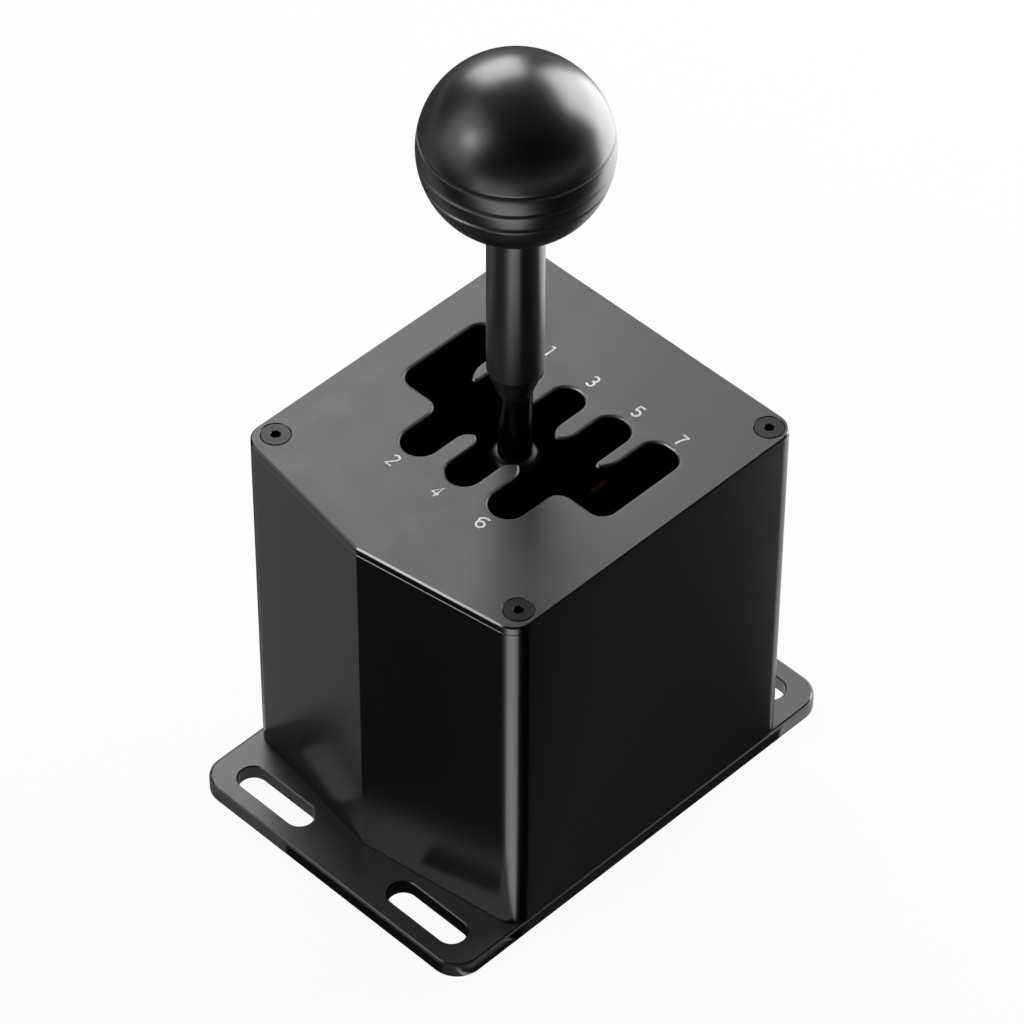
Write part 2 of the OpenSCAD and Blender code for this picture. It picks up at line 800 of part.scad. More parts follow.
module detent_grub_screw() {
    color("#3a3a3c") translate([cam_mid, barrel_out, pivot_z]) rotate([90, 0, 0]) difference() {
        cylinder(h = grub_t, r = barrel_bore_r - fit_clear);
        translate([0, 0, -grub_t/2]) cylinder(h = grub_t, r = grub_key_r, $fn = 6);
    }
}

// The cam in its own plane, with forward to the right: a hub and a notched sector
module cam_outline() {
    difference() {
        union() {
            circle(hub_r);
            intersection() {
                circle(cam_r, $fn = 96);
                polygon([[0, 0], [2*cam_r*cos(cam_span), -2*cam_r*sin(cam_span)],
                    [2*cam_r, 0], [2*cam_r*cos(cam_span), 2*cam_r*sin(cam_span)]]);
            }
        }
        circle(shaft_r + fit_clear);
        for (a = [-fore_angle, 0, fore_angle]) rotate(a) translate([notch_at, 0]) circle(notch_r);
    }
}

module detent_cam() {
    color("#b4b7bb") difference() {
        translate([cam_left, 0, pivot_z]) rotate([90, 0, 90]) linear_extrude(cam_t) cam_outline();
        for (s = [-1, 1]) translate([cam_right, s*cam_screw_r, pivot_z]) rotate([0, 90, 0])
            sunk_hole(m2, cam_t + past);
    }
}

module cam_screws() {
    color("#3a3a3c") for (s = [-1, 1]) translate([cam_right, s*cam_screw_r, pivot_z])
        rotate([0, 90, 0]) sunk_screw(m2, cam_t + cam_screw_in);
}

// Lever

module lever_hub() {
    color("#8f9296") difference() {
        union() {
            translate([0, 0, pivot_z]) along_x(hub_left, cam_left, hub_r);
            translate([0, 0, pivot_z]) intersection() {
                cylinder(h = hub_neck_up, r = hub_neck_r);
                translate([-2*hub_neck_r, -2*hub_neck_r, 0])
                    cube([2*hub_neck_r + cam_left, 4*hub_neck_r, 2*hub_neck_up]);
            }
            translate([0, 0, pivot_z - hub_stem_down]) cylinder(h = hub_stem_down, r = hub_stem_r);
        }
        translate([0, 0, pivot_z]) along_x(-window_x, window_x, shaft_r + fit_clear);
        translate([0, 0, pivot_z + hub_neck_up - spigot_l])
            cylinder(h = spigot_l + past, r = spigot_r + fit_clear);
        translate([0, 0, pivot_z - hub_stem_down - past])
            cylinder(h = past + holder_spigot_l + end_play, r = holder_spigot_r + fit_clear);
        translate([hub_grub_x, 0, pivot_z]) cylinder(h = hub_r + past, r = grub_r + fit_clear);
        for (s = [-1, 1]) translate([0, s*cam_screw_r, pivot_z])
            along_x(cam_left - cam_screw_in - end_play, cam_left + past, m2[0] + fit_clear);
    }
}

module hub_grub_screw() {
    color("#3a3a3c") translate([hub_grub_x, 0, pivot_z + shaft_r + end_play/2]) difference() {
        cylinder(h = hub_grub_l, r = grub_r);
        translate([0, 0, hub_grub_l/2]) cylinder(h = hub_grub_l, r = hub_grub_key_r, $fn = 6);
    }
}

module cross_shaft() {
    color("#b4b7bb") translate([0, 0, pivot_z]) difference() {
        along_x(-shaft_end, shaft_end, shaft_r);
        for (s = [0, 1]) mirror([s, 0, 0]) difference() {
            along_x(clip_x - clip_play, clip_x + clip_t + clip_play, shaft_r + past);
            along_x(bar_out_x, shaft_end, clip_neck_r);
        }
    }
}

module shaft_clips() {
    color("#6d7074") for (s = [0, 1]) mirror([s, 0, 0]) translate([0, 0, pivot_z]) difference() {
        along_x(clip_x, clip_x + clip_t, clip_r);
        along_x(bar_out_x, shaft_end, clip_neck_r + fit_clear);
        translate([bar_out_x, -clip_mouth/2, -2*clip_r])
            cube([shaft_end - bar_out_x, clip_mouth, 2*clip_r]);
    }
}

module shaft_spacer() {
    color("#b4b7bb") translate([0, 0, pivot_z]) difference() {
        along_x(cam_right, window_x - bush_flange_t - gap, spacer_r);
        along_x(cam_right - past, window_x, shaft_r + fit_clear);
    }
}

module lever_collar() {
    low = pivot_z + hub_neck_up;
    color("#17171a") rotate_extrude() difference() {
        polygon([[0, low - spigot_l + end_play], [spigot_r, low - spigot_l + end_play], [spigot_r, low],
            [collar_r, low], [collar_r, collar_top - collar_shoulder], [rod_r + collar_rim, collar_top],
            [0, collar_top]]);
        translate([0, collar_top - collar_bore_l]) square([rod_r + fit_clear, collar_bore_l + past]);
    }
}

module collar_nut() {
    low = pivot_z + hub_neck_up;
    color("#3a3a3c") translate([0, 0, low]) difference() {
        cylinder(h = nut_h, r = nut_r, $fn = 6);
        translate([0, 0, -past]) cylinder(h = nut_h + 2*past, r = collar_r + fit_clear);
    }
}

module lever_shaft() {
    low = collar_top - collar_bore_l + end_play;
    color("#17171a") rotate_extrude() polygon([[0, low], [rod_r, low], [rod_r, taper_z],
        [grip_r, grip_z], [grip_r, knob_flat_z], [stud_r, knob_flat_z],
        [stud_r, knob_flat_z + stud_l], [0, knob_flat_z + stud_l]]);
}

// Knob: a turned ball with three V grooves, flat underneath and bored for its insert
module knob() {
    color("#111113") rotate_extrude() difference() {
        translate([0, knob_z]) intersection() {
            circle(knob_r, $fn = 128);
            translate([0, knob_flat_z - knob_z]) square([knob_r, 2*knob_r]);
        }
        for (i = [-1 : 1]) knob_groove(groove_mid + i*groove_gap);
        translate([0, knob_flat_z - past]) square([insert_r + fit_clear, insert_l + past + end_play]);
    }
}

module knob_groove(h) {
    r = sqrt(knob_r*knob_r - h*h);
    translate([r, knob_z + h]) rotate(atan(h/r))
        polygon([[-groove_d, 0], [groove_d, -groove_w], [groove_d, groove_w]]);
}

module knob_insert() {
    color("#a8842c") ring_z(knob_flat_z, knob_flat_z + insert_l, insert_r, stud_r + fit_clear);
}

module magnet_holder() {
    top = pivot_z - hub_stem_down;
    color("#26272a") difference() {
        union() {
            translate([0, 0, top - holder_l]) cylinder(h = holder_l, r = holder_r);
            translate([0, 0, top - eps]) cylinder(h = holder_spigot_l, r = holder_spigot_r);
        }
        translate([0, 0, top - holder_l - past])
            cylinder(h = magnet_l + past + end_play, r = magnet_r + fit_clear);
    }
}

module magnet() {
    color("#c9ccd0") translate([0, 0, pivot_z - hub_stem_down - holder_l])
        cylinder(h = magnet_l, r = magnet_r);
}

// Electronics

module sensor_board() {
    color("#14502c") translate([0, 0, sensor_z]) linear_extrude(board_t) difference() {
        rounded_square(sensor_w, sensor_l, board_corner_r);
        for (p = sensor_holes) translate(p) circle(m25[0] + screw_play);
    }
}

module sensor_chips() {
    color("#222326") translate([0, 0, sensor_z + board_t]) for (c = sensor_chip_list) chip(c);
}

// One chip lying on z = 0
module chip(c) {
    translate([c[0] - c[2]/2, c[1] - c[3]/2, 0]) cube([c[2], c[3], c[4]]);
}

module sensor_standoffs() {
    color("#a8842c") for (p = sensor_holes) translate([p[0], p[1], 0]) {
        ring_z(floor_z, sensor_z, standoff_r, m25[0] + fit_clear);
        peg(standoff_peg_r);
    }
}

module sensor_screws() {
    color("#3a3a3c") for (p = sensor_holes) translate([p[0], p[1], sensor_z + board_t])
        pan_screw(m25, board_t + standoff_h - end_play);
}

module main_board() {
    color("#14502c") translate([0, main_back, main_low + main_h/2]) rotate([90, 0, 0])
        linear_extrude(board_t) difference() {
            rounded_square(main_w, main_h, board_corner_r);
            for (p = main_holes) translate([p[0], p[1] - main_low - main_h/2]) circle(m25[0] + screw_play);
        }
}

module main_chips() {
    color("#222326") translate([0, main_back, main_low]) rotate([-90, 0, 0]) for (c = main_chip_list)
        mirror([0, 1, 0]) chip(c);
}

module main_standoffs() {
    color("#a8842c") for (p = main_holes) translate([p[0], 0, p[1]]) {
        difference() {
            along_y(main_back, back_in, standoff_r);
            along_y(main_back - past, back_in - eps, m25[0] + fit_clear);
        }
        along_y(back_in - 2*eps, back_in + wall_peg_l, standoff_peg_r);
    }
}

module main_screws() {
    color("#3a3a3c") for (p = main_holes) translate([p[0], main_front, p[1]]) rotate([90, 0, 0])
        pan_screw(m25, board_t + main_off - end_play);
}

// Sockets for the flat cable, one lying on the sensor board and one upright on the main board
module flex_sockets() {
    color("#d8d4c8") {
        translate([0, sensor_mouth_y, flex_z]) rotate([-90, 0, 0]) flex_socket();
        translate([0, flex_up_y, main_mouth_z]) rotate([180, 0, 0]) flex_socket();
    }
}

// Mouth at z = 0, facing +Z
module flex_socket() {
    difference() {
        translate([-flex_port_w/2, -flex_port_h/2, -flex_port_l])
            cube([flex_port_w, flex_port_h, flex_port_l]);
        translate([-flex_w/2 - 2*flex_play, -flex_t/2 - flex_play, past - flex_port_l])
            cube([flex_w + 4*flex_play, flex_t + 2*flex_play, flex_port_l]);
    }
}

// Flat cable: forward along the floor, through the rear pillar's tunnel and up to the main board
module flex_cable() {
    start = sensor_mouth_y - flex_in;
    color("#c8b98c") translate([-flex_w/2, 0, 0]) rotate([90, 0, 90]) linear_extrude(flex_w) {
        translate([start, flex_z - flex_t/2]) square([flex_up_y - flex_bend - start, flex_t]);
        translate([flex_up_y - flex_t/2, flex_z + flex_bend])
            square([flex_t, main_mouth_z + flex_in - flex_z - flex_bend]);
        translate([flex_up_y - flex_bend, flex_z + flex_bend]) intersection() {
            difference() {
                circle(flex_bend + flex_t/2);
                circle(flex_bend - flex_t/2);
            }
            translate([0, -flex_bend - past]) square(flex_bend + past);
        }
    }
}

module usb_outline(grow) {
    w = usb_w + 2*grow;
    h = usb_h + 2*grow;
    square([w - h, h], center = true);
    for (s = [-1, 1]) translate([s*(w - h)/2, 0]) circle(h/2);
}

module usb_receptacle() {
    depth = case_back - usb_inset - main_back;
    color("#c9ccd0") translate([0, case_back - usb_inset, floor_z + port_h]) rotate([90, 0, 0]) {
        difference() {
            linear_extrude(depth) usb_outline(0);
            translate([0, 0, -past]) linear_extrude(depth) usb_outline(-usb_shell);
        }
        translate([0, 0, past]) linear_extrude(depth - past) square(usb_tongue, center = true);
    }
}

base_plate();
housing_shell();
top_plate();
top_plate_screws();
base_screws();
front_pillar();
rear_pillar();
pillar_screws();
bearing_outer_rings();
bearing_balls();
spring_seats();
bumper_posts();
side_bumpers();
sensor_board();
sensor_chips();
sensor_standoffs();
sensor_screws();
main_board();
main_chips();
main_standoffs();
main_screws();
flex_sockets();
flex_cable();
usb_receptacle();
yoke_frame();
yoke_pins();
bearing_inner_rings();
shaft_bushes();
left_centring_spring();
right_centring_spring();
detent_barrel();
detent_grub_screw();
detent_spring();
detent_plunger();
lever_hub();
cross_shaft();
shaft_clips();
hub_grub_screw();
shaft_spacer();
detent_cam();
cam_screws();
lever_collar();
collar_nut();
lever_shaft();
knob();
knob_insert();
magnet_holder();
magnet();
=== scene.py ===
import bmesh
import bpy
import json
import math
from mathutils import Matrix, Vector

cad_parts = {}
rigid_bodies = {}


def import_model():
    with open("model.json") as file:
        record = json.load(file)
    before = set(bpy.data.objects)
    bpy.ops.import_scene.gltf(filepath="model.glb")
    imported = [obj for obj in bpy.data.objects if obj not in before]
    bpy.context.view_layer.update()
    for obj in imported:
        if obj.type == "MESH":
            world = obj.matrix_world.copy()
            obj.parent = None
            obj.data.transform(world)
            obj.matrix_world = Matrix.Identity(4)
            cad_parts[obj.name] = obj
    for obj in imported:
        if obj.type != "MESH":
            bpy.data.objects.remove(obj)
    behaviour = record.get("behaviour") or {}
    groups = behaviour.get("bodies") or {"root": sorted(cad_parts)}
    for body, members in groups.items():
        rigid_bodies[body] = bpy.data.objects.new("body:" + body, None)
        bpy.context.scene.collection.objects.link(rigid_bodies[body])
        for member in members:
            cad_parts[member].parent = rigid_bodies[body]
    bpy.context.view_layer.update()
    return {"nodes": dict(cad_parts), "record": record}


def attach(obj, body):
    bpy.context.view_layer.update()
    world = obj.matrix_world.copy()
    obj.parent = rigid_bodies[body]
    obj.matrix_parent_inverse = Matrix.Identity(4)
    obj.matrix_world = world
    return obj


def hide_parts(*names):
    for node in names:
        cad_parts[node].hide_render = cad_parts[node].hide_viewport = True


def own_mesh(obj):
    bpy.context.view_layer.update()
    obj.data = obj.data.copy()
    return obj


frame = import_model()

MM = 0.001
scene = bpy.context.scene
nodes = frame["nodes"]

# Heights and radii that part.scad gives, in mm
DECK = 119.2
RIM = 116.6
PLATE_TOP = 5.0
KNOB_Z = 218.9
KNOB_R = 25.0
KNOB_FLAT_R = 9.6
KNOB_BORE_R = 8.04
KNOB_BORE_L = 18.2
GROOVES = (-6.25, -0.75, 4.75)
GROOVE_HALF = 0.55
GROOVE_DEPTH = 1.0
ROD_R = 4.6
GRIP_R = 7.5
COLLAR_R = 7.2

# How near two heights are taken for the same, in mm, and the turn in degrees that makes a crease
NEAR = 0.01
CREASE = 14.0


# ---------------------------------------------------------------- camera

# Fitted to the edges of the case, plate, gate and knob: degrees, mm and pixels
CAMERA_TURN = (44.6998, 45.3893, -0.2143)
CAMERA_TARGET = (-22.115, 21.363, 60.0)
CAMERA_REACH = 1458.924
FOCAL_LENGTH_PX = 5379.53
PHOTO_PX = 1024
SENSOR = 36.0


def place_camera():
    """The photograph's camera."""
    az, el, roll = (math.radians(a) for a in CAMERA_TURN)
    back = Vector((math.sin(az)*math.cos(el), -math.cos(az)*math.cos(el), math.sin(el)))
    right = (-back).cross(Vector((0, 0, 1))).normalized()
    down = (-back).cross(right)
    x = math.cos(roll)*right + math.sin(roll)*down
    y = -math.sin(roll)*right + math.cos(roll)*down
    place = Vector(CAMERA_TARGET)*MM + back*CAMERA_REACH*MM
    camera = bpy.data.objects.new("camera", bpy.data.cameras.new("camera"))
    scene.collection.objects.link(camera)
    turn = Matrix((x, -y, back)).transposed()
    camera.matrix_world = Matrix.Translation(place) @ turn.to_4x4()
    camera.data.sensor_width = SENSOR
    camera.data.lens = SENSOR*FOCAL_LENGTH_PX/PHOTO_PX
    camera.data.clip_start = 0.05
    camera.data.clip_end = 50.0
    scene.camera = camera


# ---------------------------------------------------------------- materials

GRAIN_DEPTH = 0.00002


class Tree:
    """A small helper that adds nodes to a material's tree and links them."""

    def __init__(self, tree):
        self.tree = tree

    def add(self, kind, **values):
        node = self.tree.nodes.new(kind)
        for key, value in values.items():
            setattr(node, key, value)
        return node

    def link(self, a, b):
        self.tree.links.new(a, b)

    def math(self, op, a, b=None):
        node = self.add("ShaderNodeMath", operation=op)
        for i, v in enumerate((a, b)):
            if v is None:
                continue
            if isinstance(v, (int, float)):
                node.inputs[i].default_value = v
            else:
                self.link(v, node.inputs[i])
        return node.outputs[0]

    def noise(self, vector, scale, detail=3.0, rough=0.55):
        node = self.add("ShaderNodeTexNoise")
        node.inputs["Scale"].default_value = scale
        node.inputs["Detail"].default_value = detail
        node.inputs["Roughness"].default_value = rough
        self.link(vector, node.inputs["Vector"])
        return node.outputs["Fac"]

    def span(self, value, low, high, start=0.0, end=1.0):
        node = self.add("ShaderNodeMapRange")
        for name, v in (("From Min", start), ("From Max", end), ("To Min", low), ("To Max", high)):
            node.inputs[name].default_value = v
        self.link(value, node.inputs["Value"])
        return node.outputs["Result"]

    def blend(self, fac, a, b):
        node = self.add("ShaderNodeMix", data_type="FLOAT")
        self.link(fac, node.inputs["Factor"])
        self.link(a, node.inputs[2])
        node.inputs[3].default_value = b
        return node.outputs[0]

    def mix(self, fac, a, b):
        node = self.add("ShaderNodeMix", data_type="RGBA")
        for socket, v in ((node.inputs["Factor"], fac), (node.inputs[6], a), (node.inputs[7], b)):
            if isinstance(v, (int, float)):
                socket.default_value = v
            elif isinstance(v, tuple):
                socket.default_value = (*v, 1.0)
            else:
                self.link(v, socket)
        return node.outputs[2]


def scaled(colour, k):
    return tuple(min(1.0, c*k) for c in colour)


def relief(t, where, grain, grain_scale, rings, ring_depth, brushed):
    """The sum of a finish's fine heights, or None if it has none."""
    heights = []
    if grain:
        fine = t.noise(where, grain_scale, 3.0, 0.6)
        heights.append(t.math("MULTIPLY", fine, grain))
    if ring_depth:
        parts = t.add("ShaderNodeSeparateXYZ")
        t.link(where, parts.inputs[0])
        lines = t.add("ShaderNodeTexNoise", noise_dimensions="1D")
        lines.inputs["Scale"].default_value = rings
        lines.inputs["Detail"].default_value = 2.0
        t.link(parts.outputs["Z"], lines.inputs["W"])
        heights.append(t.math("MULTIPLY", lines.outputs["Fac"], ring_depth))
    if brushed is not None:
        mapping = t.add("ShaderNodeMapping")
        stretch = [1.0, 1.0, 1.0]
        stretch["XYZ".index(brushed)] = 0.03
        mapping.inputs["Scale"].default_value = stretch
        t.link(where, mapping.inputs["Vector"])
        heights.append(t.math("MULTIPLY", t.noise(mapping.outputs["Vector"], 2200.0, 3.0), 0.6))
    if not heights:
        return None
    total = heights[0]
    for h in heights[1:]:
        total = t.math("ADD", total, h)
    return total


def material(name, colour, rough, metal=0.0, level=0.5, ior=1.5, vary=0.12, tone=45.0, rough_vary=0.03,
             grain=0.0, grain_scale=2600.0, rings=0.0, ring_depth=0.0, brushed=None,
             edge=None, edge_rough=None, glint_metal=None, sides=None, spread=0.0):
    """A procedural finish in the object's own coordinates.

    vary, tone: how much the colour drifts, and how finely; grain: blasted or moulded texture;
    rings, ring_depth: turning lines about Z; brushed: axis that the strokes follow; edge: colour
    that shows on the marked faces, which are broken edges, save that on the lever they are the
    rod, whose darker tone is painted shade, and that on the knob the lighter tone of the lips is
    also a painted highlight; glint_metal: bright bare metal on the marked faces that face the
    front lamps, a painted glint; sides: colour, roughness and specular level of faces that stand
    upright; spread: how far the turning lines draw the gloss out."""
    m = bpy.data.materials.new(name)
    m.use_nodes = True
    t = Tree(m.node_tree)
    shader = m.node_tree.nodes["Principled BSDF"]
    shader.inputs["Metallic"].default_value = metal
    shader.inputs["Specular IOR Level"].default_value = level
    shader.inputs["IOR"].default_value = ior
    where = t.add("ShaderNodeTexCoord").outputs["Object"]
    drift = t.noise(where, tone, 4.0)
    shade = t.mix(t.span(drift, 0.0, 1.0, 0.3, 0.7), scaled(colour, 1 - vary), scaled(colour, 1 + vary))
    gloss = t.span(t.noise(where, tone*1.7, 5.0), rough - rough_vary, rough + rough_vary, 0.25, 0.75)
    if edge is not None:
        mark = t.add("ShaderNodeAttribute", attribute_name="edge").outputs["Fac"]
    if sides is not None:
        parts = t.add("ShaderNodeSeparateXYZ")
        t.link(t.add("ShaderNodeTexCoord").outputs["Normal"], parts.inputs[0])
        side = t.span(t.math("ABSOLUTE", parts.outputs["Z"]), 1.0, 0.0, 0.2, 0.5)
        if edge is not None:
            side = t.math("MAXIMUM", side, mark)
        shade = t.mix(side, shade, sides[0])
        gloss = t.blend(side, gloss, sides[1])
        t.link(t.span(side, level, sides[2]), shader.inputs["Specular IOR Level"])
    if edge is not None:
        edge_tone_and_glint = t.math("MULTIPLY", mark, t.span(t.noise(where, 260.0, 4.0), 0.8, 1.0, 0.3, 0.6))
        shade = t.mix(edge_tone_and_glint, shade, edge)
        if edge_rough is not None:
            gloss = t.blend(mark, gloss, edge_rough)
        # Bright bare metal on the marked faces that face the front lamps: a painted glint.
        if glint_metal:
            bright = t.add("ShaderNodeAttribute", attribute_name="glint_metal").outputs["Fac"]
            shade = t.mix(bright, shade, glint_metal)
            t.link(t.math("MULTIPLY", bright, 0.9), shader.inputs["Metallic"])
    t.link(shade, shader.inputs["Base Color"])
    t.link(gloss, shader.inputs["Roughness"])
    if spread:
        shader.inputs["Anisotropic"].default_value = spread
        if edge is not None:
            t.link(t.span(mark, spread, 0.0), shader.inputs["Anisotropic"])
        shader.inputs["Anisotropic Rotation"].default_value = 0.25
        tangent = t.add("ShaderNodeTangent", direction_type="RADIAL", axis="Z")
        t.link(tangent.outputs[0], shader.inputs["Tangent"])
    height = relief(t, where, grain, grain_scale, rings, ring_depth, brushed)
    if height is not None:
        bump = t.add("ShaderNodeBump")
        bump.inputs["Distance"].default_value = GRAIN_DEPTH
        bump.inputs["Strength"].default_value = 1.0
        if edge is not None:
            t.link(t.span(side if sides is not None else mark, 1.0, 0.25), bump.inputs["Strength"])
        t.link(height, bump.inputs["Height"])
        t.link(bump.outputs["Normal"], shader.inputs["Normal"])
    return m


def board_material():
    """Green solder resist over copper tracks, with a glass-cloth shimmer."""
    m = bpy.data.materials.new("solder_resist")
    m.use_nodes = True
    t = Tree(m.node_tree)
    shader = m.node_tree.nodes["Principled BSDF"]
    shader.inputs["Coat Weight"].default_value = 0.3
    where = t.add("ShaderNodeTexCoord").outputs["Object"]
    tracks = t.add("ShaderNodeTexBrick")
    tracks.inputs["Scale"].default_value = 420.0
    tracks.inputs["Mortar Size"].default_value = 0.03
    t.link(where, tracks.inputs["Vector"])
    base = t.mix(t.noise(where, 130.0, 4.0), (0.004, 0.030, 0.012), (0.007, 0.045, 0.020))
    shade = t.mix(t.span(tracks.outputs["Fac"], 0.0, 0.5), base, (0.018, 0.080, 0.035))
    t.link(shade, shader.inputs["Base Color"])
    t.link(t.span(t.noise(where, 300.0, 3.0), 0.28, 0.42), shader.inputs["Roughness"])
    return m


def make_materials():
    gloss = {"ior": 1.7, "level": 0.9}
    # Broken edges: their colour and gloss, and bright bare metal where they face the front lamps, a painted
    # glint.
    cut = {"edge": (0.012, 0.012, 0.0125), "edge_rough": 0.18, "glint_metal": (0.85, 0.85, 0.86)}
    return {
        "anodised_plate": material("anodised_plate", (0.050, 0.050, 0.0505), 0.40, grain=0.6, vary=0.06,
                                   sides=((0.002, 0.002, 0.002), 0.24, 0.9), ior=1.7, level=0.54, **cut),
        "anodised_case": material("anodised_case", (0.001, 0.001, 0.001), 0.24, rough_vary=0.015,
                                  grain=0.2, vary=0.2, **gloss, **cut),
        "anodised_deck": material("anodised_deck", (0.012, 0.012, 0.0125), 0.42, grain=0.6, vary=0.07,
                                  tone=60.0, sides=((0.001, 0.001, 0.001), 0.24, 0.9), ior=1.7, level=0.5,
                                  **cut),
        # On the lever the marked faces are the whole rod, down in the gate: its darker tone is painted shade,
        # and it has its own gloss.
        "lever_black": material("lever_black", (0.020, 0.020, 0.020), 0.31, rough_vary=0.02, ring_depth=0.4,
                                rings=2600.0, vary=0.2, edge=(0.003, 0.003, 0.003), edge_rough=0.2,
                                spread=0.65, **gloss),
        # The knob's marked groove lips and flat rim take a lighter tone: worn edges, and a painted highlight,
        # the light line along each groove.
        "knob_black": material("knob_black", (0.004, 0.004, 0.004), 0.32, ring_depth=0.5,
                               rings=3000.0, vary=0.2, edge=(0.10, 0.10, 0.102), **gloss),
        "bare_aluminium": material("bare_aluminium", (0.56, 0.57, 0.58), 0.32, metal=1.0, brushed="X",
                                   vary=0.06, grain=0.2),
        "black_steel": material("black_steel", (0.004, 0.004, 0.0042), 0.34, ior=1.7, level=0.2, vary=0.25,
                                tone=300.0, grain=0.5, grain_scale=5200.0, edge=(0.06, 0.06, 0.062),
                                edge_rough=0.3),
        "bright_steel": material("bright_steel", (0.62, 0.62, 0.63), 0.22, metal=1.0, vary=0.05, grain=0.2,
                                 grain_scale=5200.0),
        "bearing_steel": material("bearing_steel", (0.72, 0.73, 0.74), 0.12, metal=1.0, vary=0.03,
                                  rough_vary=0.03, grain=0.1),
        "spring_steel": material("spring_steel", (0.42, 0.42, 0.43), 0.28, metal=1.0, vary=0.15, tone=400.0,
                                 grain=0.3, grain_scale=6000.0),
        "plain_brass": material("plain_brass", (0.66, 0.48, 0.20), 0.28, metal=1.0, vary=0.08, tone=200.0,
                                grain=0.2),
        "black_rubber": material("black_rubber", (0.020, 0.020, 0.020), 0.75, level=0.35, vary=0.2, grain=1.0,
                                 grain_scale=1500.0),
        "black_plastic": material("black_plastic", (0.025, 0.025, 0.027), 0.5, vary=0.1, grain=0.8,
                                  grain_scale=1900.0),
        "board_green": board_material(),
        "chip_black": material("chip_black", (0.022, 0.022, 0.024), 0.55, vary=0.15, tone=500.0, grain=0.9,
                               grain_scale=4000.0),
        "ivory_plastic": material("ivory_plastic", (0.70, 0.66, 0.56), 0.45, vary=0.05, grain=0.3),
        "cable_film": material("cable_film", (0.010, 0.007, 0.004), 0.5, vary=0.08, tone=300.0, brushed="Y"),
        "plug_steel": material("plug_steel", (0.60, 0.60, 0.61), 0.3, metal=1.0, vary=0.06, brushed="Y"),
        "magnet_nickel": material("magnet_nickel", (0.70, 0.69, 0.66), 0.18, metal=1.0, vary=0.04, grain=0.1),
    }


# ---------------------------------------------------------------- pieces

def new_piece(name, mesh, body, slot=None, replaced=()):
    """A shown piece that rides on a CAD body. With a slot it takes that slot's finish."""
    piece = bpy.data.objects.new(name, mesh)
    scene.collection.objects.link(piece)
    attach(piece, body)
    if slot:
        piece.data.materials.clear()
        piece.data.materials.append(MATERIALS[slot])
    if replaced:
        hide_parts(*replaced)
    return piece


def shade(bm, angle, fresh=()):
    """Smooth faces, with sharp edges where the surface turns by more than the angle, or where
    a broken edge's fresh faces meet the old ones. Fresh faces may turn further."""
    fresh_angle = 50
    for face in bm.faces:
        face.smooth = True
    for e in bm.edges:
        if len(e.link_faces) == 2:
            a, b = e.link_faces
            limit = fresh_angle if a in fresh and b in fresh else angle
            e.smooth = e.calc_face_angle(0.0) < math.radians(limit) and (a in fresh) == (b in fresh)


def at_height(part, z):
    """Whether all of an edge's or face's vertices are at that height in mm."""
    return all(abs(v.co.z/MM - z) < NEAR for v in part.verts)


def boundary_loops(bm, z):
    """The closed rims, as lists of vertices, that are open at that height in mm."""
    left = dict.fromkeys(e for e in bm.edges if len(e.link_faces) == 1 and at_height(e, z))
    loops = []
    while left:
        loop = list(left.popitem()[0].verts)
        while True:
            ahead = next((e for e in loop[-1].link_edges if e in left), None)
            if ahead is None:
                break
            del left[ahead]
            end = ahead.other_vert(loop[-1])
            if end is loop[0]:
                break
            loop.append(end)
        loops.append(loop)
    return loops


def encloses(loop, point):
    """Whether a rim goes round a point, seen from above."""
    hit = False
    for a, b in zip(loop, loop[1:] + loop[:1]):
        if (a.co.y > point.y) != (b.co.y > point.y):
            hit ^= point.x < a.co.x + (point.y - a.co.y)*(b.co.x - a.co.x)/(b.co.y - a.co.y)
    return hit


def rim(least, width, mark=1.0, segments=1, glint_metal=0.0):
    """How to break the rims that are at least so long: width in mm, and mark and bare bright metal for the
    material. One segment gives a chamfer, and more give a fillet. The bare metal is for the middle of
    the stretches that face the front, towards the front lamps, where it glints: a painted glint."""
    return least, width, segments, mark, glint_metal


